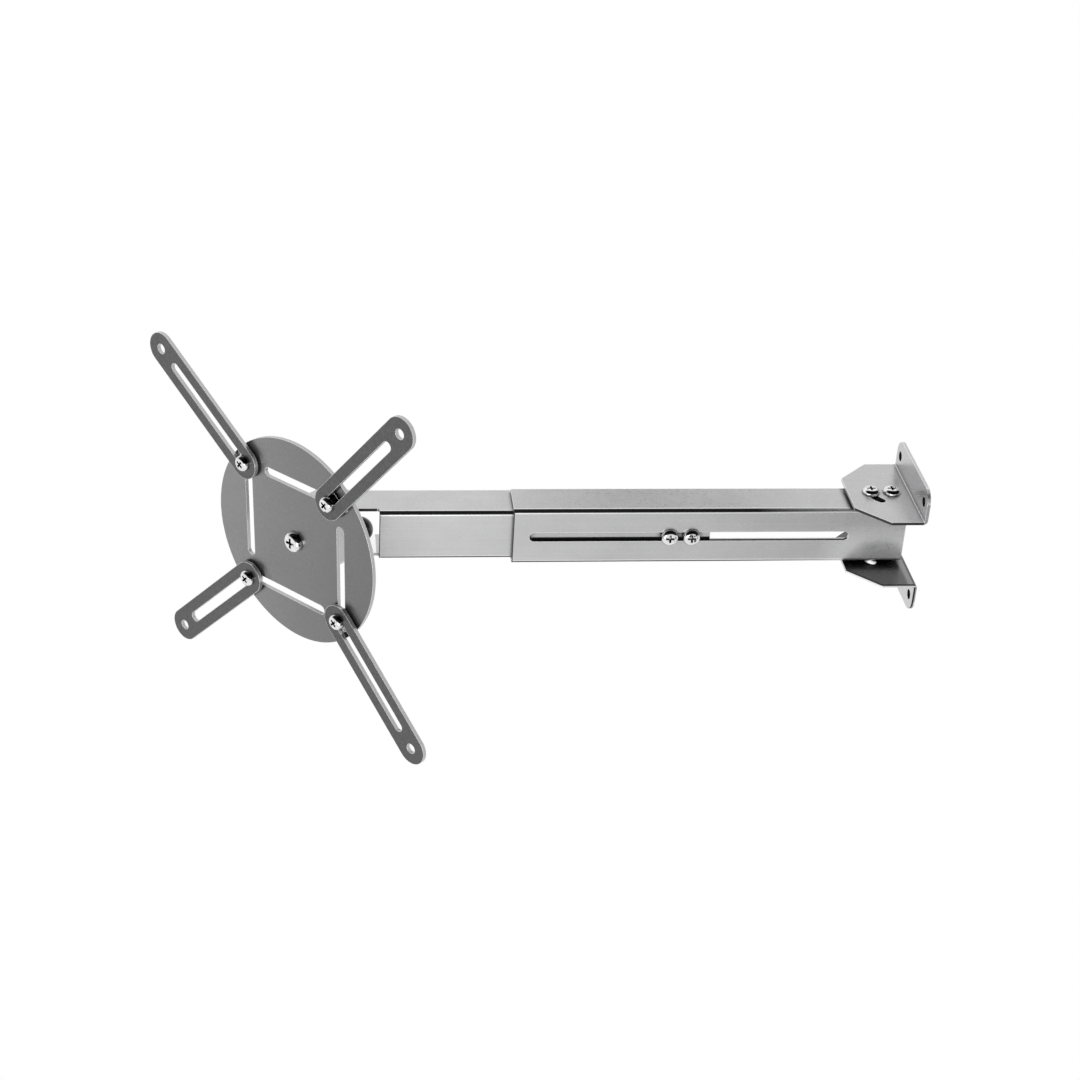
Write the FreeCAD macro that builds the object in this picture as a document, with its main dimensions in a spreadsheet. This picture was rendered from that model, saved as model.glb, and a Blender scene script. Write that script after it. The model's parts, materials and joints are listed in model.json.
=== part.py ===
import FreeCAD, Part
import math
import os

import Sketcher

# Projector wall mount, in millimetres and degrees. +X points at the wall, +Z up, and the viewer stands at -Y.
# The origin is the centre of the four wall holes, on the wall plane.
SIZES = {
    "sheet": 2.5,
    "bend": 1.0,
    "running_gap": 0.05,
    "bolt_gap": 0.1,
    "slide_gap": 0.4,
    "outer_height": 47.2,
    "outer_depth": 33.4,
    "outer_length": 306.6,
    "wall_clearance": 6.7,
    "arm_slot_width": 7.6,
    "arm_slot_from_head": 12.8,
    "arm_slot_from_wall": 44.6,
    "inner_web_length": 254.8,
    "inner_extra_depth": 3.6,
    "extension": 101.5,
    "ear_setback": 5.8,
    "ear_reach": 35.0,
    "ear_flat": 0.5,
    "clamp_from_end": 15.1,
    "clamp_spacing": 16.9,
    "bracket_width": 93.0,
    "bracket_depth": 51.6,
    "bracket_full_depth": 27.9,
    "bracket_nose_width": 46.4,
    "bracket_corner": 1.5,
    "wall_flange_height": 27.2,
    "wall_flange_corner": 12.0,
    "wall_hole_spacing": 73.3,
    "wall_hole_height": 14.8,
    "wall_hole_diameter": 8.0,
    "pivot_from_wall": 17.0,
    "arc_radius": 16.5,
    "arc_sweep": 48.0,
    "arc_slot_gap": 0.4,
    "spacer_thickness": 2.9,
    "spacer_diameter": 13.0,
    "arm_screw_diameter": 6.0,
    "arm_head_diameter": 13.2,
    "arm_head_height": 4.0,
    "arm_nut_width": 10.0,
    "arm_nut_height": 5.0,
    "thread_left_over": 1.5,
    "head_web_offset": 22.0,
    "head_web_start": 5.0,
    "head_open_side": 16.0,
    "head_lug_radius": 16.0,
    "plate_distance": 36.4,
    "pan_at_rest": 43.4,
    "head_bolt_diameter": 8.0,
    "head_bolt_head_width": 13.0,
    "head_bolt_head_height": 5.3,
    "head_nut_height": 6.5,
    "sleeve_diameter": 16.0,
    "knob_diameter": 20.0,
    "knob_stud_diameter": 6.0,
    "knob_reach": 22.9,
    "knob_neck": 4.5,
    "knob_turn": 111.6,
    "plate_diameter": 165.0,
    "plate_thickness": 3.0,
    "plate_turn_at_rest": 1.7,
    "plate_slot_inset": 33.5,
    "plate_slot_width": 7.6,
    "plate_slot_spacing": 22.3,
    "plate_rim_land": 5.78,
    "plate_screw_diameter": 8.0,
    "plate_head_diameter": 16.6,
    "plate_head_height": 5.2,
    "plate_nut_width": 13.0,
    "plate_nut_height": 6.5,
    "finger_length": 110.0,
    "finger_width": 26.0,
    "finger_thickness": 3.0,
    "finger_slot_width": 8.0,
    "finger_tip_land": 19.0,
    "finger_tip_hole": 8.0,
    "finger_screw_diameter": 6.0,
    "finger_head_diameter": 12.6,
    "finger_head_height": 4.0,
    "finger_nut_width": 10.0,
    "finger_nut_height": 5.0,
    "finger_washer_diameter": 20.0,
    "finger_washer_thickness": 2.0,
    "rear_washer_diameter": 15.0,
    "rear_washer_thickness": 1.2,
    "finger_1_from_end": 3.6,
    "finger_1_angle": 53.2,
    "finger_2_from_end": 12.7,
    "finger_2_angle": 48.3,
    "finger_3_from_end": 5.5,
    "finger_3_angle": 43.8,
    "finger_4_from_end": 6.2,
    "finger_4_angle": 44.2,
}
# Sizes that follow the ones above
FOLLOWING = {
    "finger_slot_length": "finger_length - finger_tip_land",
    "plate_slot_offset": "plate_diameter / 2 - plate_slot_inset",
    "plate_slot_inner": "plate_slot_offset - plate_slot_spacing",
    "plate_slot_reach": "(plate_diameter - plate_slot_width) / 2 - plate_rim_land",
    "plate_slot_outer": "sqrt(plate_slot_reach * plate_slot_reach - plate_slot_offset * plate_slot_offset)",
    "finger_1_place": "plate_slot_outer - finger_1_from_end",
    "finger_2_place": "plate_slot_outer - finger_2_from_end",
    "finger_3_place": "plate_slot_outer - finger_3_from_end",
    "finger_4_place": "plate_slot_outer - finger_4_from_end",
}
SLOT_TURNS = {1: 90.0, 2: 0.0, 3: 180.0, 4: -90.0}
FAR = "400"
MARGIN = "1"
HEAD_ROUNDING = "0.75"
CROSS_REACH = "0.5"
CROSS_HALF_WIDTH = "0.13"
CROSS_DEPTH = "0.6"

doc = FreeCAD.newDocument("projector_wall_mount")
dims = doc.addObject("Spreadsheet::Sheet", "dims")
for row, (alias, size) in enumerate(SIZES.items(), start=1):
    dims.set(f"A{row}", alias)
    dims.set(f"B{row}", str(size))
    dims.setAlias(f"B{row}", alias)
doc.recompute()
for row, (alias, formula) in enumerate(FOLLOWING.items(), start=len(SIZES) + 1):
    dims.set(f"A{row}", alias)
    dims.set(f"B{row}", "=" + formula)
    dims.setAlias(f"B{row}", alias)
    doc.recompute()

nodes = {}


def value(expression):
    """The number that an expression over the sizes stands for."""
    return float(dims.evalExpression(expression))


def new_body(name):
    body = doc.addObject("PartDesign::Body", name)
    body.Label = name
    nodes[name] = body
    return body


def new_sketch(body, plane, name):
    sketch = body.newObject("Sketcher::SketchObject", name)
    origin = next(o for o in body.Origin.OriginFeatures if o.Role == plane)
    sketch.AttachmentSupport = (origin, [""])
    sketch.MapMode = "FlatFace"
    return sketch


def bind(sketch, kind, items, expression):
    """A dimension that follows the sizes; a plain 0 puts the point on the axis."""
    if expression == "0":
        axis = -2 if kind == "DistanceX" else -1
        sketch.addConstraint(Sketcher.Constraint("PointOnObject", items[2], items[3], axis))
        return
    index = sketch.addConstraint(Sketcher.Constraint(kind, *items, value(expression)))
    label = f"size_{index}"
    sketch.renameConstraint(index, label)
    sketch.setExpression(f"Constraints.{label}", expression)


def fix_point(sketch, item, position, x, y):
    bind(sketch, "DistanceX", (-1, 1, item, position), x)
    bind(sketch, "DistanceY", (-1, 1, item, position), y)


def draw_circle(sketch, x, y, radius):
    centre = FreeCAD.Vector(value(x), value(y), 0)
    item = sketch.addGeometry(Part.Circle(centre, FreeCAD.Vector(0, 0, 1), value(radius)))
    fix_point(sketch, item, 3, x, y)
    bind(sketch, "Radius", (item,), radius)


def draw_slot(sketch, x_start, x_end, y, radius):
    """A round-ended slot that runs along x."""
    left, right, level, r = value(x_start), value(x_end), value(y), value(radius)
    up = FreeCAD.Vector(0, 0, 1)
    below = [FreeCAD.Vector(x, level - r, 0) for x in (left, right)]
    above = [FreeCAD.Vector(x, level + r, 0) for x in (right, left)]
    low = sketch.addGeometry(Part.LineSegment(*below))
    circle = Part.Circle(FreeCAD.Vector(right, level, 0), up, r)
    right_end = sketch.addGeometry(Part.ArcOfCircle(circle, -math.pi / 2, math.pi / 2))
    top = sketch.addGeometry(Part.LineSegment(*above))
    circle = Part.Circle(FreeCAD.Vector(left, level, 0), up, r)
    left_end = sketch.addGeometry(Part.ArcOfCircle(circle, math.pi / 2, 3 * math.pi / 2))
    order = [low, right_end, top, left_end]
    for here, after in zip(order, order[1:] + order[:1]):
        sketch.addConstraint(Sketcher.Constraint("Tangent", here, 2, after, 1))
    for item, x in ((right_end, x_end), (left_end, x_start)):
        fix_point(sketch, item, 3, x, y)
        bind(sketch, "Radius", (item,), radius)


def draw_outline(sketch, corners):
    """A closed outline of (x, y, radius) corners; a radius of None leaves the corner sharp."""
    points = [FreeCAD.Vector(value(x), value(y), 0) for x, y, _ in corners]
    count = len(corners)
    ends = []
    for i, (_, _, radius) in enumerate(corners):
        here, before, after = points[i], points[i - 1], points[(i + 1) % count]
        if radius is None:
            ends.append((here, here, None, False))
            continue
        back, ahead = (before - here).normalize(), (after - here).normalize()
        half = back.getAngle(ahead) / 2
        run = value(radius) / math.tan(half)
        centre = here + (back + ahead).normalize() * (value(radius) / math.sin(half))
        left_turn = (here - before).cross(after - here).z > 0
        ends.append((here + back * run, here + ahead * run, centre, left_turn))
    lines = []
    for i in range(count):
        start, finish = ends[i][1], ends[(i + 1) % count][0]
        lines.append(sketch.addGeometry(Part.LineSegment(start, finish)))
    for i, (x, y, radius) in enumerate(corners):
        line_in, line_out = lines[i - 1], lines[i]
        if radius is None:
            sketch.addConstraint(Sketcher.Constraint("Coincident", line_in, 2, line_out, 1))
            fix_point(sketch, line_out, 1, x, y)
            continue
        start, finish, centre, left_turn = ends[i]
        first, last = (start, finish) if left_turn else (finish, start)
        angles = [math.atan2(p.y - centre.y, p.x - centre.x) for p in (first, last)]
        circle = Part.Circle(centre, FreeCAD.Vector(0, 0, 1), value(radius))
        arc = sketch.addGeometry(Part.ArcOfCircle(circle, *angles))
        at_start, at_end = (1, 2) if left_turn else (2, 1)
        sketch.addConstraint(Sketcher.Constraint("Tangent", line_in, 2, arc, at_start))
        sketch.addConstraint(Sketcher.Constraint("Tangent", arc, at_end, line_out, 1))
        bind(sketch, "Radius", (arc,), radius)
        corner = sketch.addGeometry(Part.Point(points[i]), True)
        sketch.addConstraint(Sketcher.Constraint("PointOnObject", corner, 1, line_in))
        sketch.addConstraint(Sketcher.Constraint("PointOnObject", corner, 1, line_out))
        fix_point(sketch, corner, 1, x, y)


def pad(body, sketch, length, centred=False, backwards=False):
    feature = body.newObject("PartDesign::Pad", sketch.Name + "_pad")
    feature.Profile = sketch
    feature.setExpression("Length", length)
    feature.Midplane = centred
    feature.Reversed = backwards
    doc.recompute()
    return feature


def cut_through(body, sketch):
    """Cuts an outline through the whole piece, both ways from its plane."""
    before = body.Shape.Volume
    feature = body.newObject("PartDesign::Pocket", sketch.Name + "_cut")
    feature.Profile = sketch
    feature.Type = 1
    feature.Midplane = True
    doc.recompute()
    if body.Shape.Volume >= before:
        raise RuntimeError(f"{feature.Name} cuts nothing")
    return feature


def cut_down(body, sketch, depth):
    """Cuts an outline down from its plane to a depth."""
    before = body.Shape.Volume
    feature = body.newObject("PartDesign::Pocket", sketch.Name + "_cut")
    feature.Profile = sketch
    feature.setExpression("Length", depth)
    doc.recompute()
    if body.Shape.Volume >= before:
        raise RuntimeError(f"{feature.Name} cuts nothing")
    return feature


def trim_to(body, plane, name, corners):
    """Removes all of the piece outside an outline seen square on to the plane."""
    sketch = new_sketch(body, plane, name)
    signs = (("-", "-"), ("", "-"), ("", ""), ("-", ""))
    draw_outline(sketch, [(x_sign + FAR, y_sign + FAR, None) for x_sign, y_sign in signs])
    draw_outline(sketch, corners)
    return cut_through(body, sketch)


def channel_profile(half_height, front, back):
    """Corners of an open-backed folded channel in (y, z), its web at the front."""
    outer, inner = "dims.bend + dims.sheet", "dims.bend"
    return [
        (front, f"-({half_height})", outer),
        (back, f"-({half_height})", None),
        (back, f"-({half_height}) + dims.sheet", None),
        (f"{front} + dims.sheet", f"-({half_height}) + dims.sheet", inner),
        (f"{front} + dims.sheet", f"({half_height}) - dims.sheet", inner),
        (back, f"({half_height}) - dims.sheet", None),
        (back, half_height, None),
        (front, half_height, outer),
    ]


# Places along the arm. The arm's centre line is the X axis.
OUTER_HALF = "dims.outer_height / 2"
OUTER_FRONT = "-dims.outer_depth / 2"
OUTER_BACK = "dims.outer_depth / 2"
INNER_HALF = f"{OUTER_HALF} - dims.sheet - dims.slide_gap"
INNER_FRONT = f"{OUTER_FRONT} + dims.sheet + dims.slide_gap"
INNER_BACK = f"{OUTER_BACK} + dims.inner_extra_depth"
EAR_FRONT = f"{INNER_FRONT} + dims.ear_setback"
EAR_HALF = f"(({INNER_BACK}) - ({EAR_FRONT})) / 2"
HEAD_PIVOT_Y = f"(({INNER_BACK}) + ({EAR_FRONT})) / 2"
PIVOT_X = "-dims.pivot_from_wall"
ARC_X = f"{PIVOT_X} - dims.arc_radius"
WALL_END_X = "-dims.wall_clearance"
HEAD_END_X = f"{WALL_END_X} - dims.outer_length"
INNER_HEAD_X = f"{HEAD_END_X} - dims.extension"
INNER_WALL_X = f"{INNER_HEAD_X} + dims.inner_web_length"
HEAD_PIVOT_X = f"{INNER_HEAD_X} - dims.ear_reach"
CLAMP_1_X = f"{INNER_WALL_X} - dims.clamp_from_end - dims.clamp_spacing"
CLAMP_2_X = f"{INNER_WALL_X} - dims.clamp_from_end"
FLANGE_Z = f"{OUTER_HALF} + dims.spacer_thickness"
ARM_HOLE = "dims.arm_screw_diameter / 2 + dims.bolt_gap"


def wall_bracket(name):
    """An L-shaped folded sheet. Its own origin is the pivot axis at the underside of the flat flange."""
    body = new_body(name)
    wall, inside = "dims.pivot_from_wall", "dims.pivot_from_wall - dims.sheet"
    tip = "dims.pivot_from_wall - dims.bracket_depth"
    half, nose = "dims.bracket_width / 2", "dims.bracket_nose_width / 2"
    shoulder = "dims.pivot_from_wall - dims.bracket_full_depth"
    side = new_sketch(body, "XZ_Plane", name + "_fold")
    draw_outline(side, [
        (tip, "0", None),
        (wall, "0", "dims.bend + dims.sheet"),
        (wall, "dims.wall_flange_height", None),
        (inside, "dims.wall_flange_height", None),
        (inside, "dims.sheet", "dims.bend"),
        (tip, "dims.sheet", None),
    ])
    pad(body, side, "dims.bracket_width", centred=True)
    round_off = "dims.bracket_corner"
    trim_to(body, "XY_Plane", name + "_plan", [
        (f"{wall} + {MARGIN}", f"-{half}", None),
        (f"{wall} + {MARGIN}", half, None),
        (shoulder, half, round_off),
        (tip, nose, round_off),
        (tip, f"-{nose}", round_off),
        (shoulder, f"-{half}", round_off),
    ])
    corner = "dims.wall_flange_corner"
    trim_to(body, "YZ_Plane", name + "_flange", [
        (f"-{half}", f"-{MARGIN}", None),
        (half, f"-{MARGIN}", None),
        (half, "dims.wall_flange_height", corner),
        (f"-{half}", "dims.wall_flange_height", corner),
    ])
    holes = new_sketch(body, "YZ_Plane", name + "_wall_holes")
    for side_sign in ("", "-"):
        draw_circle(holes, f"{side_sign}dims.wall_hole_spacing / 2", "dims.wall_hole_height",
                    "dims.wall_hole_diameter / 2")
    cut_through(body, holes)
    slot_half = "dims.arm_screw_diameter / 2 + dims.arc_slot_gap"
    pivot = new_sketch(body, "XY_Plane", name + "_pivot_holes")
    draw_circle(pivot, "0", "0", "dims.arm_screw_diameter / 2 + dims.running_gap")
    cut_through(body, pivot)
    ends = new_sketch(body, "XY_Plane", name + "_arc_ends")
    draw_circle(ends, "-dims.arc_radius", "0", slot_half)
    end_x, end_y = "-dims.arc_radius * cos(dims.arc_sweep)", "-dims.arc_radius * sin(dims.arc_sweep)"
    draw_circle(ends, end_x, end_y, slot_half)
    cut_through(body, ends)
    arc = new_sketch(body, "XZ_Plane", name + "_arc")
    near, far = f"-dims.arc_radius + {slot_half}", f"-dims.arc_radius - ({slot_half})"
    draw_outline(arc, [
        (far, f"-{MARGIN}", None),
        (near, f"-{MARGIN}", None),
        (near, f"dims.sheet + {MARGIN}", None),
        (far, f"dims.sheet + {MARGIN}", None),
    ])
    before = body.Shape.Volume
    groove = body.newObject("PartDesign::Groove", name + "_arc_cut")
    groove.Profile = arc
    axis = next(o for o in body.Origin.OriginFeatures if o.Role == "Z_Axis")
    groove.ReferenceAxis = (axis, [""])
    groove.setExpression("Angle", "dims.arc_sweep")
    doc.recompute()
    if body.Shape.Volume >= before:
        raise RuntimeError(f"{groove.Name} cuts nothing")
    return body


def outer_channel():
    body = new_body("outer_channel")
    profile = new_sketch(body, "YZ_Plane", "outer_profile")
    draw_outline(profile, channel_profile(OUTER_HALF, OUTER_FRONT, OUTER_BACK))
    pad(body, profile, "dims.outer_length", backwards=True)
    slot = new_sketch(body, "XZ_Plane", "outer_slot")
    radius = "dims.arm_slot_width / 2"
    draw_slot(slot, f"-dims.outer_length + dims.arm_slot_from_head + {radius}",
              f"-dims.arm_slot_from_wall - {radius}", "0", radius)
    cut_through(body, slot)
    holes = new_sketch(body, "XY_Plane", "outer_holes")
    for place in (PIVOT_X, ARC_X):
        draw_circle(holes, f"{place} + dims.wall_clearance", "0", ARM_HOLE)
    cut_through(body, holes)
    body.Placement.Base = FreeCAD.Vector(value(WALL_END_X), 0, 0)


def inner_channel():
    """The sliding channel. Its own origin is the head end of its web; the ears reach on past it."""
    body = new_body("inner_channel")
    profile = new_sketch(body, "YZ_Plane", "inner_profile")
    draw_outline(profile, channel_profile(INNER_HALF, INNER_FRONT, INNER_BACK))
    reach = f"dims.ear_reach + {EAR_HALF}"
    feature = pad(body, profile, "dims.inner_web_length")
    feature.SideType = 1
    feature.setExpression("Length2", reach)
    doc.recompute()
    ear_round = f"{EAR_HALF} - dims.ear_flat / 2"
    trim_to(body, "XY_Plane", "inner_plan", [
        (f"dims.inner_web_length + {MARGIN}", f"{INNER_FRONT} - {MARGIN}", None),
        (f"dims.inner_web_length + {MARGIN}", INNER_BACK, None),
        (f"-({reach})", INNER_BACK, ear_round),
        (f"-({reach})", EAR_FRONT, ear_round),
        ("0", EAR_FRONT, "dims.bend"),
        ("0", f"{INNER_FRONT} - {MARGIN}", None),
    ])
    holes = new_sketch(body, "XY_Plane", "inner_pivot_holes")
    draw_circle(holes, "-dims.ear_reach", HEAD_PIVOT_Y, "dims.head_bolt_diameter / 2 + dims.running_gap")
    cut_through(body, holes)
    clamps = new_sketch(body, "XZ_Plane", "inner_clamp_holes")
    for place in (CLAMP_1_X, CLAMP_2_X):
        draw_circle(clamps, f"{place} - ({INNER_HEAD_X})", "0", ARM_HOLE)
    cut_through(body, clamps)
    body.Placement.Base = FreeCAD.Vector(value(INNER_HEAD_X), 0, 0)


def head_bracket():
    """A folded sheet: a web at the side, two lugs over the ears and a front plate. X points at the plate."""
    body = new_body("head_bracket")
    web, open_side = "dims.head_web_offset", "-dims.head_open_side"
    front, inside = "dims.plate_distance", "dims.plate_distance - dims.sheet"
    profile = new_sketch(body, "YZ_Plane", "head_profile")
    outer, inner = "dims.bend + dims.sheet", "dims.bend"
    draw_outline(profile, [
        (open_side, f"-{OUTER_HALF}", None),
        (web, f"-{OUTER_HALF}", outer),
        (web, OUTER_HALF, outer),
        (open_side, OUTER_HALF, None),
        (open_side, f"{OUTER_HALF} - dims.sheet", None),
        (f"{web} - dims.sheet", f"{OUTER_HALF} - dims.sheet", inner),
        (f"{web} - dims.sheet", f"-{OUTER_HALF} + dims.sheet", inner),
        (open_side, f"-{OUTER_HALF} + dims.sheet", None),
    ])
    feature = pad(body, profile, front)
    feature.SideType = 1
    feature.setExpression("Length2", "dims.head_lug_radius")
    doc.recompute()
    tab = new_sketch(body, "XZ_Plane", "head_tab")
    draw_outline(tab, [
        (inside, f"-{OUTER_HALF}", None),
        (front, f"-{OUTER_HALF}", None),
        (front, OUTER_HALF, None),
        (inside, OUTER_HALF, None),
    ])
    slab = pad(body, tab, f"{web} - dims.bend - dims.sheet", backwards=True)
    slab.SideType = 1
    slab.setExpression("Length2", "dims.head_open_side")
    doc.recompute()
    lug = "dims.head_lug_radius"
    lug_round = "dims.head_lug_radius - dims.ear_flat / 2"
    trim_to(body, "XY_Plane", "head_plan", [
        (f"{front} + {MARGIN}", open_side, None),
        (f"{front} + {MARGIN}", f"{web} + {MARGIN}", None),
        ("dims.head_web_start", f"{web} + {MARGIN}", None),
        ("dims.head_web_start", lug, "dims.bend"),
        (f"-{lug}", lug, lug_round),
        (f"-{lug}", open_side, lug_round),
    ])
    holes = new_sketch(body, "XY_Plane", "head_bolt_holes")
    draw_circle(holes, "0", "0", "dims.head_bolt_diameter / 2 + dims.bolt_gap")
    cut_through(body, holes)
    hub = new_sketch(body, "YZ_Plane", "head_hub_hole")
    draw_circle(hub, "0", "0", "dims.plate_screw_diameter / 2 + dims.running_gap")
    cut_through(body, hub)
    return body


def round_plate():
    """The disc, with four slots laid out like a pinwheel. Its own Z points at the projector."""
    body = new_body("round_plate")
    disc = new_sketch(body, "XY_Plane", "plate_disc")
    draw_circle(disc, "0", "0", "dims.plate_diameter / 2")
    draw_circle(disc, "0", "0", "dims.plate_screw_diameter / 2 + dims.bolt_gap")
    pad(body, disc, "dims.plate_thickness")
    slot = new_sketch(body, "XY_Plane", "plate_slot")
    draw_slot(slot, "-dims.plate_slot_inner", "dims.plate_slot_outer", "dims.plate_slot_offset",
              "dims.plate_slot_width / 2")
    first = cut_through(body, slot)
    before = body.Shape.Volume
    pattern = body.newObject("PartDesign::PolarPattern", "plate_slots")
    pattern.Originals = [first]
    axis = next(o for o in body.Origin.OriginFeatures if o.Role == "Z_Axis")
    pattern.Axis = (axis, [""])
    pattern.Angle = 360.0
    pattern.Occurrences = 4
    body.Tip = pattern
    doc.recompute()
    if body.Shape.Volume >= before:
        raise RuntimeError("the plate's slots aren't repeated")
    return body


def finger(name):
    """One slotted finger. Its own origin is the screw end of its slot, and its X runs out to the tip hole."""
    body = new_body(name)
    sketch = new_sketch(body, "XY_Plane", name + "_outline")
    draw_slot(sketch, "0", "dims.finger_length", "0", "dims.finger_width / 2")
    draw_slot(sketch, "0", "dims.finger_slot_length", "0", "dims.finger_slot_width / 2")
    draw_circle(sketch, "dims.finger_length", "0", "dims.finger_tip_hole / 2")
    pad(body, sketch, "dims.finger_thickness")
    return body


def screw(name, kind, length):
    """A pan-head screw with a cross recess. Its own origin is under the head and the shank runs down -Z."""
    body = new_body(name)
    shank, rim, height = (f"dims.{kind}_screw_diameter / 2", f"dims.{kind}_head_diameter / 2",
                          f"dims.{kind}_head_height")
    half = new_sketch(body, "XZ_Plane", name + "_half")
    draw_outline(half, [
        ("0", f"-({length})", None),
        (shank, f"-({length})", None),
        (shank, "0", None),
        (rim, "0", None),
        (rim, height, f"{height} * {HEAD_ROUNDING}"),
        ("0", height, None),
    ])
    turned = body.newObject("PartDesign::Revolution", name + "_turned")
    turned.Profile = half
    axis = next(o for o in body.Origin.OriginFeatures if o.Role == "Z_Axis")
    turned.ReferenceAxis = (axis, [""])
    turned.Angle = 360.0
    doc.recompute()
    cross = new_sketch(body, "XY_Plane", name + "_cross")
    cross.AttachmentOffset = FreeCAD.Placement(FreeCAD.Vector(0, 0, value(height)), FreeCAD.Rotation())
    cross.setExpression("AttachmentOffset.Base.z", height)
    wide, slim = f"{rim} * {CROSS_REACH}", f"{rim} * {CROSS_HALF_WIDTH}"
    draw_outline(cross, [
        (wide, f"-{slim}", None),
        (wide, slim, None),
        (slim, slim, None),
        (slim, wide, None),
        (f"-{slim}", wide, None),
        (f"-{slim}", slim, None),
        (f"-{wide}", slim, None),
        (f"-{wide}", f"-{slim}", None),
        (f"-{slim}", f"-{slim}", None),
        (f"-{slim}", f"-{wide}", None),
        (slim, f"-{wide}", None),
        (slim, f"-{slim}", None),
    ])
    cut_down(body, cross, f"{height} * {CROSS_DEPTH}")
    return body


def ring(name, outer, inner, thickness):
    """A washer, spacer or sleeve that stands on its own XY plane."""
    solid = doc.addObject("Part::Cylinder", name + "_solid")
    solid.setExpression("Radius", outer)
    solid.setExpression("Height", thickness)
    hole = doc.addObject("Part::Cylinder", name + "_hole")
    hole.setExpression("Radius", inner)
    hole.setExpression("Height", thickness)
    result = doc.addObject("Part::Cut", name)
    result.Base = solid
    result.Tool = hole
    result.Label = name
    nodes[name] = result
    return result


def nut(name, width, height, hole):
    """A hexagon nut that stands on its own XY plane."""
    solid = doc.addObject("Part::Prism", name + "_solid")
    solid.Polygon = 6
    solid.setExpression("Circumradius", f"{width} / 2 / cos(30)")
    solid.setExpression("Height", height)
    bore = doc.addObject("Part::Cylinder", name + "_bore")
    bore.setExpression("Radius", hole)
    bore.setExpression("Height", height)
    result = doc.addObject("Part::Cut", name)
    result.Base = solid
    result.Tool = bore
    result.Label = name
    nodes[name] = result
    return result


def hex_bolt(name, length):
    """A hexagon bolt. Its own origin is under the head and the shank runs down -Z."""
    head = doc.addObject("Part::Prism", name + "_head")
    head.Polygon = 6
    head.setExpression("Circumradius", "dims.head_bolt_head_width / 2 / cos(30)")
    head.setExpression("Height", "dims.head_bolt_head_height")
    shank = doc.addObject("Part::Cylinder", name + "_shank")
    shank.setExpression("Radius", "dims.head_bolt_diameter / 2")
    shank.setExpression("Height", length)
    shank.setExpression("Placement.Base.z", f"-({length})")
    result = doc.addObject("Part::Fuse", name)
    result.Base = head
    result.Tool = shank
    result.Label = name
    nodes[name] = result
    return result


def lock_knob():
    """A ball knob on its stud. Its own origin is the head pivot, and the stud runs out along its Z."""
    body = new_body("lock_knob")
    radius, stud = "dims.knob_diameter / 2", "dims.knob_stud_diameter / 2"
    start = "dims.head_bolt_diameter / 2 + dims.bolt_gap"
    half = new_sketch(body, "XZ_Plane", "knob_half")
    neck = "dims.knob_neck"
    flat = f"dims.knob_reach - sqrt(({radius}) * ({radius}) - {neck} * {neck})"
    top = f"dims.knob_reach + {radius}"
    lines = [
        (("0", start), (stud, start)),
        ((stud, start), (stud, flat)),
        ((stud, flat), (neck, flat)),
        (("0", top), ("0", start)),
    ]
    items = []
    for first, last in lines:
        ends = [FreeCAD.Vector(value(x), value(y), 0) for x, y in (first, last)]
        items.append(half.addGeometry(Part.LineSegment(*ends)))
    centre = FreeCAD.Vector(0, value("dims.knob_reach"), 0)
    begin = math.atan2(value(flat) - centre.y, value(neck))
    circle = Part.Circle(centre, FreeCAD.Vector(0, 0, 1), value(radius))
    ball = half.addGeometry(Part.ArcOfCircle(circle, begin, math.pi / 2))
    for here, after in ((items[0], items[1]), (items[1], items[2]), (items[2], ball), (ball, items[3]),
                        (items[3], items[0])):
        half.addConstraint(Sketcher.Constraint("Coincident", here, 2, after, 1))
    fix_point(half, items[0], 1, "0", start)
    fix_point(half, items[1], 1, stud, start)
    fix_point(half, items[2], 1, stud, flat)
    bind(half, "DistanceX", (-1, 1, ball, 1), neck)
    half.addConstraint(Sketcher.Constraint("Horizontal", items[2]))
    fix_point(half, ball, 3, "0", "dims.knob_reach")
    half.addConstraint(Sketcher.Constraint("PointOnObject", ball, 2, -2))
    turned = body.newObject("PartDesign::Revolution", "knob_turned")
    turned.Profile = half
    axis = next(o for o in body.Origin.OriginFeatures if o.Role == "Z_Axis")
    turned.ReferenceAxis = (axis, [""])
    turned.Angle = 360.0
    doc.recompute()
    return body


def turn_z(angle):
    return FreeCAD.Rotation(FreeCAD.Vector(0, 0, 1), angle)


def at(x, y, z, rotation=None):
    return FreeCAD.Placement(FreeCAD.Vector(x, y, z), rotation or FreeCAD.Rotation())


UPSIDE_DOWN = FreeCAD.Rotation(FreeCAD.Vector(1, 0, 0), 180)
FACE_VIEWER = FreeCAD.Rotation(FreeCAD.Vector(1, 0, 0), 90)


def mirrored_bracket():
    """The lower bracket is the upper one's mirror image, so that both arc slots open the same way."""
    source = wall_bracket("lower_bracket_blank")
    del nodes["lower_bracket_blank"]
    result = doc.addObject("Part::Mirroring", "lower_wall_bracket")
    result.Source = source
    result.Normal = FreeCAD.Vector(0, 0, 1)
    result.Label = "lower_wall_bracket"
    nodes["lower_wall_bracket"] = result
    return result


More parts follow.
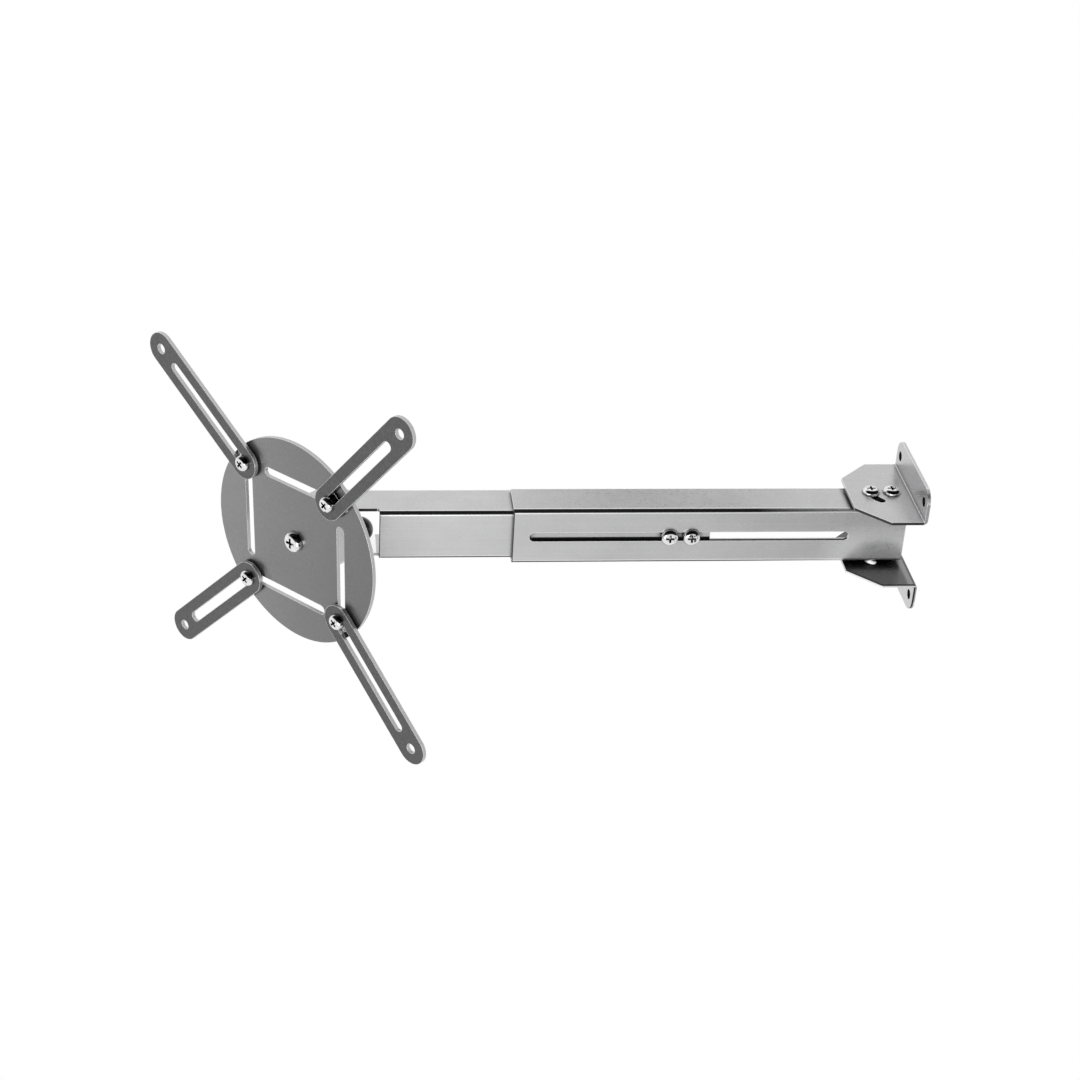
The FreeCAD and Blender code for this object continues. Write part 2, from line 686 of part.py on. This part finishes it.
def wall_side():
    upper = wall_bracket("upper_wall_bracket")
    upper.Placement = at(value(PIVOT_X), 0, value(FLANGE_Z))
    lower = mirrored_bracket()
    lower.Placement = at(value(PIVOT_X), 0, -value(FLANGE_Z))
    stack = "2 * dims.sheet + dims.spacer_thickness + dims.arm_nut_height + dims.thread_left_over"
    for level, sign in (("upper", 1), ("lower", -1)):
        for place, x in (("pivot", value(PIVOT_X)), ("arc", value(ARC_X))):
            turn = FreeCAD.Rotation() if sign > 0 else UPSIDE_DOWN
            bolt = screw(f"{level}_{place}_screw", "arm", stack)
            bolt.Placement = at(x, 0, sign * value(f"{FLANGE_Z} + dims.sheet"), turn)
            spacer = ring(f"{level}_{place}_spacer", "dims.spacer_diameter / 2", ARM_HOLE,
                          "dims.spacer_thickness")
            spacer.Placement = at(x, 0, sign * value(OUTER_HALF), turn)
            lock = nut(f"{level}_{place}_nut", "dims.arm_nut_width", "dims.arm_nut_height", ARM_HOLE)
            inside = value(f"{OUTER_HALF} - dims.sheet - dims.arm_nut_height")
            lock.Placement = at(x, 0, sign * inside, turn)


def clamps():
    stack = "2 * dims.sheet + dims.slide_gap + dims.arm_nut_height + dims.thread_left_over"
    for number, place in ((1, CLAMP_1_X), (2, CLAMP_2_X)):
        bolt = screw(f"clamp_screw_{number}", "arm", stack)
        bolt.Placement = at(value(place), value(OUTER_FRONT), 0, FACE_VIEWER)
        lock = nut(f"clamp_nut_{number}", "dims.arm_nut_width", "dims.arm_nut_height", ARM_HOLE)
        behind = value(f"{INNER_FRONT} + dims.sheet + dims.arm_nut_height")
        lock.Placement = at(value(place), behind, 0, FACE_VIEWER)


def head_side():
    """The head turns about a vertical bolt through the ears. Its frame's X points at the projector."""
    frame = at(value(HEAD_PIVOT_X), value(HEAD_PIVOT_Y), 0, turn_z(180 + value("dims.pan_at_rest")))
    head_bracket().Placement = frame
    bolt = hex_bolt("head_bolt", "dims.outer_height + dims.head_nut_height + dims.thread_left_over")
    bolt.Placement = frame.multiply(at(0, 0, value(OUTER_HALF)))
    lock = nut("head_nut", "dims.head_bolt_head_width", "dims.head_nut_height",
               "dims.head_bolt_diameter / 2 + dims.bolt_gap")
    lock.Placement = frame.multiply(at(0, 0, value(f"-{OUTER_HALF} - dims.head_nut_height")))
    sleeve_half = f"{INNER_HALF} - dims.sheet"
    sleeve = ring("head_sleeve", "dims.sleeve_diameter / 2", "dims.head_bolt_diameter / 2 + dims.bolt_gap",
                  f"2 * ({sleeve_half})")
    stud_hole = doc.addObject("Part::Cylinder", "head_sleeve_cross_hole")
    stud_hole.setExpression("Radius", "dims.knob_stud_diameter / 2 + dims.running_gap")
    stud_hole.setExpression("Height", "dims.sleeve_diameter")
    along = FreeCAD.Rotation(FreeCAD.Vector(0, 1, 0), 90)
    knob_turn = turn_z(value("dims.knob_turn"))
    stud_hole.Placement = at(0, 0, value(sleeve_half), knob_turn.multiply(along))
    drilled = doc.addObject("Part::Cut", "head_sleeve_drilled")
    sleeve.Label = "head_sleeve_plain"
    drilled.Base = sleeve
    drilled.Tool = stud_hole
    drilled.Label = "head_sleeve"
    drilled.Placement = frame.multiply(at(0, 0, -value(sleeve_half)))
    nodes["head_sleeve"] = drilled
    lock_knob().Placement = frame.multiply(at(0, 0, 0, knob_turn.multiply(along)))
    return frame


def plate_side(head_frame):
    """The plate and its fingers. The plate frame's x runs right and y up, seen from the projector's side."""
    across, upright, outward = (FreeCAD.Vector(*v) for v in ((0, 1, 0), (0, 0, 1), (1, 0, 0)))
    face = FreeCAD.Rotation(across, upright, outward, "ZXY")
    back = head_frame.multiply(at(value("dims.plate_distance"), 0, 0, face))
    back = back.multiply(at(0, 0, 0, turn_z(value("dims.plate_turn_at_rest"))))
    round_plate().Placement = back
    front = value("dims.plate_thickness")
    bolt = screw("plate_screw", "plate",
                 "dims.plate_thickness + dims.sheet + dims.plate_nut_height + dims.thread_left_over")
    bolt.Placement = back.multiply(at(0, 0, front))
    lock = nut("plate_nut", "dims.plate_nut_width", "dims.plate_nut_height",
               "dims.plate_screw_diameter / 2 + dims.bolt_gap")
    lock.Placement = back.multiply(at(0, 0, value("-dims.sheet - dims.plate_nut_height")))
    hole = "dims.finger_screw_diameter / 2 + dims.running_gap"
    stack = ("dims.finger_thickness + dims.finger_washer_thickness + dims.plate_thickness"
             " + dims.rear_washer_thickness + dims.finger_nut_height + dims.thread_left_over")
    under = front + value("dims.finger_washer_thickness")
    for number, slot_turn in SLOT_TURNS.items():
        place = value(f"dims.finger_{number}_place")
        screw_axis = back.multiply(at(0, 0, 0, turn_z(slot_turn)))
        screw_axis = screw_axis.multiply(at(place, value("dims.plate_slot_offset"), 0))
        screw_axis = screw_axis.multiply(at(0, 0, 0, turn_z(value(f"dims.finger_{number}_angle"))))
        name = f"finger_{number}"
        washer = ring(name + "_washer", "dims.finger_washer_diameter / 2", hole,
                      "dims.finger_washer_thickness")
        washer.Placement = screw_axis.multiply(at(0, 0, front))
        finger(name).Placement = screw_axis.multiply(at(0, 0, under))
        bolt = screw(name + "_screw", "finger", stack)
        bolt.Placement = screw_axis.multiply(at(0, 0, under + value("dims.finger_thickness")))
        rear = ring(name + "_rear_washer", "dims.rear_washer_diameter / 2", hole,
                    "dims.rear_washer_thickness")
        rear.Placement = screw_axis.multiply(at(0, 0, -value("dims.rear_washer_thickness")))
        lock = nut(name + "_nut", "dims.finger_nut_width", "dims.finger_nut_height", hole)
        behind = value("-dims.rear_washer_thickness - dims.finger_nut_height")
        lock.Placement = screw_axis.multiply(at(0, 0, behind))


wall_side()
outer_channel()
inner_channel()
clamps()
plate_side(head_side())
doc.recompute()

for item in doc.Objects:
    if {"Invalid", "Error"} & set(item.State):
        raise RuntimeError(f"{item.Name} failed: {item.State}")
os.makedirs("parts", exist_ok=True)
for node, item in sorted(nodes.items()):
    shape = item.Shape
    if shape.isNull() or not shape.isValid() or not shape.Solids:
        raise RuntimeError(f"{node} has no valid solid")
    shape.exportStep(f"parts/{node}.step")
    print(f"{node}: {len(shape.Solids)} solid, {shape.Volume:.1f} mm3")
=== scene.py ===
import bpy
import json
import math
from mathutils import Matrix, Vector


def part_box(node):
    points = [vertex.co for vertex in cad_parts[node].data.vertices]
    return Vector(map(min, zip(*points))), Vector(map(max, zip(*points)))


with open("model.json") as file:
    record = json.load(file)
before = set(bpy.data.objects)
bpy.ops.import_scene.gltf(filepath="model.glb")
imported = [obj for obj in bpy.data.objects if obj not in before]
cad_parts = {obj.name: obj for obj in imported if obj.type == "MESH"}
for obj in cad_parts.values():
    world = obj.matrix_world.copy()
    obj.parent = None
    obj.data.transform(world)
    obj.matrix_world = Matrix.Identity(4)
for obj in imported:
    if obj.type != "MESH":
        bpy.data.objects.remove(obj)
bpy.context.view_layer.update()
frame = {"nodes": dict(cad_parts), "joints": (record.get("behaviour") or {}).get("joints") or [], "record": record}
NODES = frame["nodes"]

# Camera, fitted to points of the photograph together with the main sizes
AZIMUTH = math.radians(-7.53)
ELEVATION = math.radians(30.20)
ROLL = math.radians(3.53)
DISTANCE = 1.6413
TARGET = Vector((-0.29225, -0.0167, -0.00242))
LENS = 71.59
SENSOR = 36.0


def corners(node):
    """A piece's lowest and highest corner at rest, in metres."""
    return [Vector(corner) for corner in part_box(node)]


# Pieces whose places the paint is worked out from
OUTER_LOW = corners("outer_channel")[0]
UPPER_LOW = corners("upper_wall_bracket")[0]
INNER_LOW, INNER_HIGH = corners("inner_channel")
LOWER_LOW, LOWER_HIGH = corners("lower_wall_bracket")
PLATE_LOW, PLATE_HIGH = corners("round_plate")
PLATE_NORMAL = next(joint["axis"] for joint in frame["joints"] if joint["name"] == "plate_turn")

# Sizes of the folded pieces that their corners don't give, in metres
SHEET = 0.0025
BEND_RADIUS = 0.0035
INNER_WEB_LENGTH = 0.2548
SLOT_HALF = 0.0038
HOLE_BESIDE = 0.0733 / 2
HOLE_HEIGHT = UPPER_LOW.z + 0.0148
HOLE_RADIUS = 0.004

# Widths of painted highlight and shade lines, how far a mask goes past a face or past a piece, and a cut edge's
# part in painted shade
LINE = 0.0008
NARROW_LINE = 0.0007
SLACK = 0.0004
PAST = 0.006
DARK_PART = 0.0011

# Stretches of the pieces, in metres
INNER_END = INNER_HIGH.x - INNER_WEB_LENGTH
EARS = (INNER_LOW.x - PAST, INNER_END - 0.0017)
BRACKETS = (LOWER_LOW.x - PAST, LOWER_HIGH.x - 0.0002)
# Where the painted shade in the clamp screws' track lies
SLOT_SHADE_ALONG = (-0.298, INNER_HIGH.x + 0.005)
SLOT_SHADE_HEIGHT = (-0.0060, -0.0017)

# Where the folds' painted highlight and reflection, the arm's painted shadow on the lower bracket and the painted
# light on the web's end fade, in metres
FOLD_FADE = (-0.125, -0.055)
ARM_SHADOW_FADE = (-0.0060, -0.0085)
LIT_END_FADE = (-0.075, -0.040)
LIT_END_RISE = (0.012, -0.006)


def add_camera():
    back = Vector((math.sin(AZIMUTH) * math.cos(ELEVATION),
                   -math.cos(AZIMUTH) * math.cos(ELEVATION),
                   math.sin(ELEVATION)))
    level = Vector((math.cos(AZIMUTH), math.sin(AZIMUTH), 0.0))
    upright = back.cross(level)
    right = level * math.cos(ROLL) + upright * math.sin(ROLL)
    up = upright * math.cos(ROLL) - level * math.sin(ROLL)
    data = bpy.data.cameras.new("camera")
    data.lens = LENS
    data.sensor_width = SENSOR
    data.clip_end = 100.0
    camera = bpy.data.objects.new("camera", data)
    turn = Matrix((right, up, back)).transposed()
    camera.matrix_world = Matrix.Translation(TARGET + back * DISTANCE) @ turn.to_4x4()
    bpy.context.scene.collection.objects.link(camera)
    bpy.context.scene.camera = camera


def grey(level):
    """A grey with a trace of blue."""
    return (level, level, level * 1.012, 1.0)


class Look:
    """A material's node tree with short calls for its nodes, and a tone that is painted layer by layer."""

    def __init__(self, name):
        self.material = bpy.data.materials.new(name)
        self.material.use_nodes = True
        self.tree = self.material.node_tree
        self.surface = self.tree.nodes["Principled BSDF"]
        self.coords = self.add("ShaderNodeTexCoord").outputs
        self.tone = None

    def add(self, kind, **settings):
        node = self.tree.nodes.new(kind)
        for key, setting in settings.items():
            setattr(node, key, setting)
        return node

    def link(self, out, into):
        self.tree.links.new(out, into)

    def set(self, **sockets):
        for key, setting in sockets.items():
            self.surface.inputs[key.replace("_", " ")].default_value = setting

    def noise(self, scale, detail=3.0, roughness=0.55, stretch=(1.0, 1.0, 1.0)):
        mapping = self.add("ShaderNodeMapping")
        mapping.inputs["Scale"].default_value = stretch
        self.link(self.coords["Object"], mapping.inputs["Vector"])
        node = self.add("ShaderNodeTexNoise")
        node.inputs["Scale"].default_value = scale
        node.inputs["Detail"].default_value = detail
        node.inputs["Roughness"].default_value = roughness
        self.link(mapping.outputs["Vector"], node.inputs["Vector"])
        return node.outputs["Fac"]

    def span(self, out, low, high, to_low=0.0, to_high=1.0):
        """A ramp from to_low to to_high while the value goes from low to high."""
        node = self.add("ShaderNodeMapRange")
        ends = {"From Min": low, "From Max": high, "To Min": to_low, "To Max": to_high}
        for key, setting in ends.items():
            node.inputs[key].default_value = setting
        self.link(out, node.inputs["Value"])
        return node.outputs["Result"]

    def math(self, operation, first, second):
        node = self.add("ShaderNodeMath", operation=operation)
        for index, term in enumerate((first, second)):
            if isinstance(term, float):
                node.inputs[index].default_value = term
            else:
                self.link(term, node.inputs[index])
        return node.outputs["Value"]

    def size_of(self, out):
        """A value without its sign."""
        node = self.add("ShaderNodeMath", operation="ABSOLUTE")
        self.link(out, node.inputs[0])
        return node.outputs["Value"]

    def mix(self, factor, first, second):
        """A blend of two colours, whose sockets come after those for numbers and vectors in the node."""
        node = self.add("ShaderNodeMix", data_type="RGBA")
        for index, term in ((0, factor), (6, first), (7, second)):
            if isinstance(term, tuple):
                node.inputs[index].default_value = term
            else:
                self.link(term, node.inputs[index])
        return node.outputs[2]

    def all_of(self, *masks):
        product = masks[0]
        for mask in masks[1:]:
            product = self.math("MULTIPLY", product, mask)
        return product

    def any_of(self, *masks):
        greatest = masks[0]
        for mask in masks[1:]:
            greatest = self.math("MAXIMUM", greatest, mask)
        return greatest

    def part_of(self, output, axis):
        """One component of a texture coordinate."""
        parts = self.add("ShaderNodeSeparateXYZ")
        self.link(self.coords[output], parts.inputs["Vector"])
        return parts.outputs[axis]

    def along(self, axis, start, end, to_start=0.0, to_end=1.0):
        """A ramp between two places on the piece's own axis."""
        return self.span(self.part_of("Object", axis), start, end, to_start, to_end)

    def between(self, axis, low, high, soft=0.00015):
        """One where the piece's own coordinate lies between two places."""
        above = self.along(axis, low - soft, low + soft)
        return self.all_of(above, self.along(axis, high + soft, high - soft))

    def near(self, out, middle, reach, soft=0.0003):
        """One where a value is within reach of a middle."""
        return self.span(self.size_of(self.math("SUBTRACT", out, middle)), reach, reach - soft)

    def facing(self, axis, start, full):
        """A ramp from start to full in how much a surface faces along an axis of its piece."""
        return self.span(self.part_of("Normal", axis), start, full)

    def fold_slope(self, upward):
        """Half where a surface faces front and up alike, as the middle of a front fold does."""
        front = self.math("MULTIPLY", self.part_of("Normal", "Y"), -1.0)
        return self.math("MULTIPLY", front, upward)

    def rounded(self, radius):
        """The surface's direction with its edges rounded off."""
        node = self.add("ShaderNodeBevel", samples=6)
        node.inputs["Radius"].default_value = radius
        return node.outputs["Normal"]

    def edges(self, radius):
        """One along the piece's edges, nought on its faces."""
        dot = self.add("ShaderNodeVectorMath", operation="DOT_PRODUCT")
        self.link(self.rounded(radius), dot.inputs[0])
        self.link(self.add("ShaderNodeNewGeometry").outputs["Normal"], dot.inputs[1])
        return self.span(dot.outputs["Value"], 1.0, 0.985)

    def rim(self, normal):
        """One on the cut edges of a flat sheet, nought on its two faces."""
        dot = self.add("ShaderNodeVectorMath", operation="DOT_PRODUCT")
        self.link(self.coords["Normal"], dot.inputs[0])
        dot.inputs[1].default_value = normal
        return self.span(self.size_of(dot.outputs["Value"]), 0.75, 0.45)

    def bump(self, height, strength, distance, radius=0.0003):
        node = self.add("ShaderNodeBump")
        node.inputs["Strength"].default_value = strength
        node.inputs["Distance"].default_value = distance
        self.link(height, node.inputs["Height"])
        self.link(self.rounded(radius), node.inputs["Normal"])
        self.link(node.outputs["Normal"], self.surface.inputs["Normal"])

    def paint(self, mask, level):
        """Lays a grey over the tone where the mask is one."""
        self.tone = self.mix(mask, self.tone, grey(level))

    def shade_gaps_and_apply(self, level, reach, dark, light):
        """Lays a painted shade into gaps and corners, then gives the tone to the surface."""
        node = self.add("ShaderNodeAmbientOcclusion", samples=8)
        node.inputs["Distance"].default_value = reach
        self.tone = self.mix(self.span(node.outputs["AO"], dark, light), grey(level), self.tone)
        self.link(self.tone, self.surface.inputs["Base Color"])


def grained_steel(name, level, grain, streak):
    """Satin silver paint on sheet steel, with fine metallic grain and faint streaks."""
    look = Look(name)
    look.set(Metallic=0.86, Coat_Weight=0.08, Coat_Roughness=0.2)
    cloud = look.noise(7.0, detail=2.0)
    flakes = look.noise(1400.0, detail=2.0, roughness=0.7)
    speckle = look.noise(450.0, detail=3.0, roughness=0.6)
    lines = look.noise(1.0, detail=4.0, roughness=0.65, stretch=(7.0, 700.0, 700.0))
    look.tone = look.mix(look.span(cloud, 0.35, 0.65), grey(level * 0.95), grey(level * 1.05))
    look.paint(look.span(flakes, 0.35, 0.65, 0.0, grain), level * 1.7)
    look.paint(look.span(speckle, 0.4, 0.6, 0.0, grain), level * 0.5)
    look.paint(look.span(lines, 0.4, 0.7, 0.0, streak), min(level * 1.4, 0.95))
    look.link(look.span(speckle, 0.3, 0.7, 0.26, 0.36), look.surface.inputs["Roughness"])
    look.bump(look.math("ADD", speckle, look.math("MULTIPLY", flakes, 0.4)), 0.10, 0.0002)
    return look


def paint_edge_and_fold_sheen(look):
    """Painted highlights along the edges, and a painted dark reflection inside a painted highlight along the front
    folds, weaker towards the wall.
    """
    look.paint(look.edges(LINE), 0.84)
    slope = look.fold_slope(look.size_of(look.part_of("Normal", "Z")))
    strength = look.along("X", *FOLD_FADE, 1.0, 0.45)
    look.paint(look.all_of(look.span(slope, 0.06, 0.18), strength), 0.85)
    look.paint(look.all_of(look.span(slope, 0.24, 0.34), strength), 0.02)


def paint_cut_end_shade(look, ahead):
    """Painted shade on the cut ends of the two front webs and on the cut edges of the upper ear and of the upper
    bracket.
    """
    outer_end = look.all_of(look.between("X", OUTER_LOW.x - LINE, OUTER_LOW.x + LINE),
                            look.between("Y", OUTER_LOW.y - LINE, OUTER_LOW.y + 2 * LINE))
    inner_end = look.all_of(look.between("X", INNER_END - LINE, INNER_END + NARROW_LINE),
                            look.between("Y", INNER_LOW.y - LINE, INNER_LOW.y + LINE))
    ear = look.all_of(look.between("X", *EARS),
                      look.between("Z", INNER_HIGH.z - SHEET - SLACK, INNER_HIGH.z + SLACK))
    bracket = look.all_of(look.between("X", BRACKETS[0], -SHEET - SLACK),
                          look.between("Z", UPPER_LOW.z - SLACK, UPPER_LOW.z + SHEET - SLACK))
    look.paint(look.all_of(look.any_of(outer_end, inner_end, ear, bracket), ahead), 0.05)


def paint_slot_shade(look):
    """Painted shade along the lower half of the track in which the clamp screws slide, and on the slot's lower
    sill.
    """
    track = look.all_of(look.between("X", *SLOT_SHADE_ALONG), look.between("Z", *SLOT_SHADE_HEIGHT),
                        look.between("Y", INNER_LOW.y - LINE, INNER_LOW.y + LINE))
    sill = look.all_of(look.between("Z", -SLOT_HALF - LINE, -SLOT_HALF / 2), look.facing("Z", 0.3, 0.7))
    look.paint(look.any_of(track, sill), 0.015)


def paint_lower_bracket_light_and_shade(look, ahead):
    """The lower bracket's painted light and shade: the arm's painted shadow on its upper side, a painted highlight
    and painted shade on its cut edges, painted light on its wall flange and painted shade in its bend.
    """
    top = LOWER_HIGH.z
    # The arm's painted shadow on the upper side, darker still along its edges
    inside = look.all_of(look.between("Z", top - BEND_RADIUS, top + LINE), look.facing("Z", 0.5, 0.8))
    look.paint(look.all_of(inside, look.along("X", *ARM_SHADOW_FADE, 0.55, 0.85)), 0.03)
    look.paint(look.all_of(inside, look.edges(0.0012)), 0.01)
    # The flat flange's cut edges: a painted highlight below and painted shade above
    pale_edge = look.between("Z", top - SHEET - SLACK, top - DARK_PART)
    dark_edge = look.between("Z", top - DARK_PART, top + SLACK)
    look.paint(look.all_of(pale_edge, look.between("X", *BRACKETS), ahead), 0.90)
    look.paint(look.all_of(dark_edge, look.between("X", *BRACKETS), ahead), 0.03)
    # Painted light on the flange on the wall, and painted shade on its front corner
    wall_flange = look.between("Z", LOWER_LOW.z - PAST, top - SHEET)
    look.paint(look.all_of(wall_flange, look.facing("X", -0.5, -0.8)), 0.62)
    look.paint(look.all_of(wall_flange, look.between("X", -SHEET - SLACK, -DARK_PART), ahead), 0.03)
    # Painted shade in the bend between the two flanges
    bend = look.all_of(look.between("Z", top - BEND_RADIUS - LINE, top + LINE),
                       look.along("X", -BEND_RADIUS, -BEND_RADIUS + LINE))
    look.paint(look.all_of(bend, look.facing("Z", 0.05, 0.30)), 0.02)


def paint_lit_faces(look):
    """Painted light on the outer web's wall end and on the lower ear's upper side."""
    web = look.all_of(look.between("Y", OUTER_LOW.y - SLACK, OUTER_LOW.y + SLACK),
                      look.facing("Y", -0.6, -0.9))
    look.paint(look.all_of(web, look.along("X", *LIT_END_FADE, 0.0, 0.8), look.along("Z", *LIT_END_RISE)), 0.93)
    shelf = look.all_of(look.between("X", *EARS),
                        look.between("Z", INNER_LOW.z - LINE, INNER_LOW.z + SHEET + LINE))
    look.paint(look.all_of(shelf, look.facing("Z", 0.5, 0.8)), 0.97)


def paint_wall_hole_shade(look):
    """Painted shade inside the wall holes, one beside the arm to each side in both brackets."""
    beside = look.size_of(look.part_of("Object", "Y"))
    height = look.size_of(look.part_of("Object", "Z"))
    around = look.all_of(look.near(beside, HOLE_BESIDE, HOLE_RADIUS + SLACK),
                         look.near(height, HOLE_HEIGHT, HOLE_RADIUS + SLACK))
    look.paint(look.all_of(around, look.span(look.size_of(look.part_of("Normal", "X")), 0.8, 0.4)), 0.01)


def arm_paint(name, level):
    """The channels' and brackets' paint, with painted highlights, reflections, light and shade along the arm."""
    look = grained_steel(name, level, grain=0.025, streak=0.14)
    look.paint(look.span(look.noise(38.0, detail=2.0), 0.4, 0.65, 0.0, 0.10), level * 0.6)
    ahead = look.facing("Y", -0.3, -0.6)
    paint_edge_and_fold_sheen(look)
    paint_cut_end_shade(look, ahead)
    paint_slot_shade(look)
    paint_lower_bracket_light_and_shade(look, ahead)
    paint_lit_faces(look)
    paint_wall_hole_shade(look)
    # Painted shade in gaps and corners
    look.shade_gaps_and_apply(level * 0.06, reach=0.006, dark=0.40, light=0.80)
    return look.material


def plate_paint(name, level, grain, cut_level, fade):
    """The round plate's and the fingers' paint, with a painted falloff of light to the right, painted highlights
    on the cut edges and corners, and painted shade in the gaps.
    """
    look = grained_steel(name, level, grain, streak=0.0)
    # Painted falloff of light towards the right
    look.paint(look.along("X", PLATE_LOW.x, PLATE_HIGH.x, 0.0, fade), 0.0)
    look.paint(look.rim(PLATE_NORMAL), cut_level)
    look.paint(look.edges(0.0005), 0.86)
    look.shade_gaps_and_apply(level * 0.30, reach=0.002, dark=0.05, light=0.45)
    return look.material


def plated(name, level, rough):
    """Bright zinc plate with fine tool marks and slow waves, painted highlights on its edges, painted shade on a
    head's rim where it faces front and up, and painted shade in its gaps.
    """
    look = Look(name)
    look.set(Metallic=1.0)
    marks = look.noise(900.0, detail=3.0, roughness=0.65)
    haze = look.noise(120.0, detail=2.0)
    waves = look.noise(170.0, detail=1.0)
    look.tone = look.mix(look.span(haze, 0.35, 0.65), grey(level * 0.86), grey(level))
    look.paint(look.edges(0.0003), 0.92)
    # Painted shade on the rim that faces front and up
    look.paint(look.span(look.fold_slope(look.part_of("Normal", "Z")), 0.20, 0.30), 0.01)
    look.shade_gaps_and_apply(0.01, reach=0.0025, dark=0.45, light=0.85)
    look.link(look.span(marks, 0.3, 0.7, rough * 0.7, rough * 1.4), look.surface.inputs["Roughness"])
    look.bump(look.math("ADD", waves, look.math("MULTIPLY", marks, 0.02)), 0.7, 0.002, 0.0004)
    return look.material


def moulded(name, grain, levels, roughness, relief, **sockets):
    """A dark plastic with a fine skin."""
    look = Look(name)
    look.set(**sockets)
    skin = look.noise(grain, detail=3.0)
    tone = look.mix(look.span(skin, 0.3, 0.7), grey(levels[0]), grey(levels[1]))
    look.link(tone, look.surface.inputs["Base Color"])
    look.link(look.span(skin, 0.3, 0.7, *roughness), look.surface.inputs["Roughness"])
    look.bump(skin, relief, 0.0001)
    return look.material


def black_plastic(name):
    """Moulded glossy black plastic."""
    return moulded(name, 350.0, (0.012, 0.024), (0.16, 0.26), 0.06,
                   Specular_IOR_Level=0.5, Coat_Weight=0.3, Coat_Roughness=0.08)


def nylon(name):
    """Matt dark nylon."""
    return moulded(name, 600.0, (0.03, 0.05), (0.45, 0.6), 0.1, Specular_IOR_Level=0.4)


def dress_nodes():
    finishes = {
        "arm_silver": arm_paint("arm_paint", level=0.55),
        "plate_silver": plate_paint("plate_paint", level=0.276, grain=0.10, cut_level=0.48, fade=0.34),
        "finger_silver": plate_paint("finger_paint", level=0.112, grain=0.32, cut_level=0.50, fade=0.0),
        "plated_steel": plated("zinc_plate", level=0.85, rough=0.07),
        "spacer_nylon": nylon("spacer_nylon"),
        "knob_black": black_plastic("knob_plastic"),
    }
    for part in frame["record"]["subparts"]:
        mesh = NODES[part["node"]].data
        mesh.materials.clear()
        mesh.materials.append(finishes[part["material_slot"]])


def background_surface(tree, bright, shade, into):
    """Bright where it is seen, mirrored or shone through, plain shade for the light that it throws back."""
    path = tree.nodes.new("ShaderNodeLightPath")
    seen = path.outputs["Is Camera Ray"]
    for kind in ("Is Glossy Ray", "Is Transmission Ray"):
        either = tree.nodes.new("ShaderNodeMath")
        either.operation = "MAXIMUM"
        tree.links.new(seen, either.inputs[0])
        tree.links.new(path.outputs[kind], either.inputs[1])
        seen = either.outputs["Value"]
    mix = tree.nodes.new("ShaderNodeMixShader")
    tree.links.new(seen, mix.inputs["Fac"])
    tree.links.new(shade, mix.inputs[1])
    tree.links.new(bright, mix.inputs[2])
    tree.links.new(mix.outputs["Shader"], into)


def add_world():
    """A white studio, dimmed to about a third for matt surfaces."""
    world = bpy.data.worlds.new("studio")
    world.use_nodes = True
    bpy.context.scene.world = world
    tree = world.node_tree
    shade = tree.nodes["Background"]
    bright = tree.nodes.new("ShaderNodeBackground")
    for background, strength in ((shade, 0.35), (bright, 1.0)):
        background.inputs["Color"].default_value = (1.0, 1.0, 1.0, 1.0)
        background.inputs["Strength"].default_value = strength
    into = tree.nodes["World Output"].inputs["Surface"]
    background_surface(tree, bright.outputs["Background"], shade.outputs["Background"], into)


def add_plane(name, width, depth, place, turn):
    mesh = bpy.data.meshes.new(name)
    x, y = width / 2, depth / 2
    mesh.from_pydata([(-x, -y, 0), (x, -y, 0), (x, y, 0), (-x, y, 0)], [], [(0, 1, 2, 3)])
    panel = bpy.data.objects.new(name, mesh)
    panel.location = place
    panel.rotation_euler = turn
    bpy.context.scene.collection.objects.link(panel)
    return panel


def matt_material(name, level, roughness):
    material = bpy.data.materials.new(name)
    material.use_nodes = True
    surface = material.node_tree.nodes["Principled BSDF"]
    surface.inputs["Base Color"].default_value = (level, level, level, 1.0)
    surface.inputs["Roughness"].default_value = roughness
    return material


def add_floor(width, height):
    """A plain pale floor well below the mount, as under a wall."""
    floor = add_plane("floor", width, width, (0.0, 0.0, height), (0.0, 0.0, 0.0))
    material = matt_material("floor", 0.9, 0.9)
    tree = material.node_tree
    glow = tree.nodes.new("ShaderNodeEmission")
    glow.inputs["Strength"].default_value = 1.0
    into = tree.nodes["Material Output"].inputs["Surface"]
    shade = tree.nodes["Principled BSDF"].outputs["BSDF"]
    background_surface(tree, glow.outputs["Emission"], shade, into)
    floor.data.materials.append(material)


def turn_towards(place, aim):
    return (Vector(aim) - Vector(place)).to_track_quat("-Z", "Y").to_euler()


def add_flag(name, width, depth, place, aim):
    """A black card, as studios use, that only shows as a dark reflection."""
    card = add_plane(name, width, depth, place, turn_towards(place, aim))
    card.visible_camera = False
    card.visible_diffuse = False
    card.visible_shadow = False
    card.visible_transmission = False
    card.data.materials.append(matt_material(name, 0.02, 1.0))


def add_lamp(name, width, depth, power, place, aim):
    data = bpy.data.lights.new(name, "AREA")
    data.shape = "RECTANGLE"
    data.size = width
    data.size_y = depth
    data.energy = power
    lamp = bpy.data.objects.new(name, data)
    lamp.location = place
    lamp.rotation_euler = turn_towards(place, aim)
    bpy.context.scene.collection.objects.link(lamp)
    return lamp


def light_scene():
    middle = (-0.25, 0.0, 0.0)
    add_world()
    add_floor(width=14.0, height=-1.1)
    top = add_lamp("top_lamp", 1.8, 0.8, power=22.0, place=(-0.4, 1.2, 1.3), aim=middle)
    top.visible_glossy = False
    add_lamp("front_lamp", 1.0, 1.0, power=10.0, place=(-0.9, -1.7, -0.1), aim=middle)
    add_flag("flag_above", 3.2, 0.9, place=(-0.25, -0.80, 1.20), aim=middle)
    add_flag("flag_right", 1.2, 1.6, place=(0.95, -1.7, -0.9), aim=(0.0, 0.0, 0.0))
    add_flag("flag_back", 0.28, 0.16, place=(0.0, 1.05, 0.62), aim=(-0.13, 0.0, 0.0))


dress_nodes()
light_scene()
add_camera()
bpy.context.scene.view_settings.view_transform = "Standard"
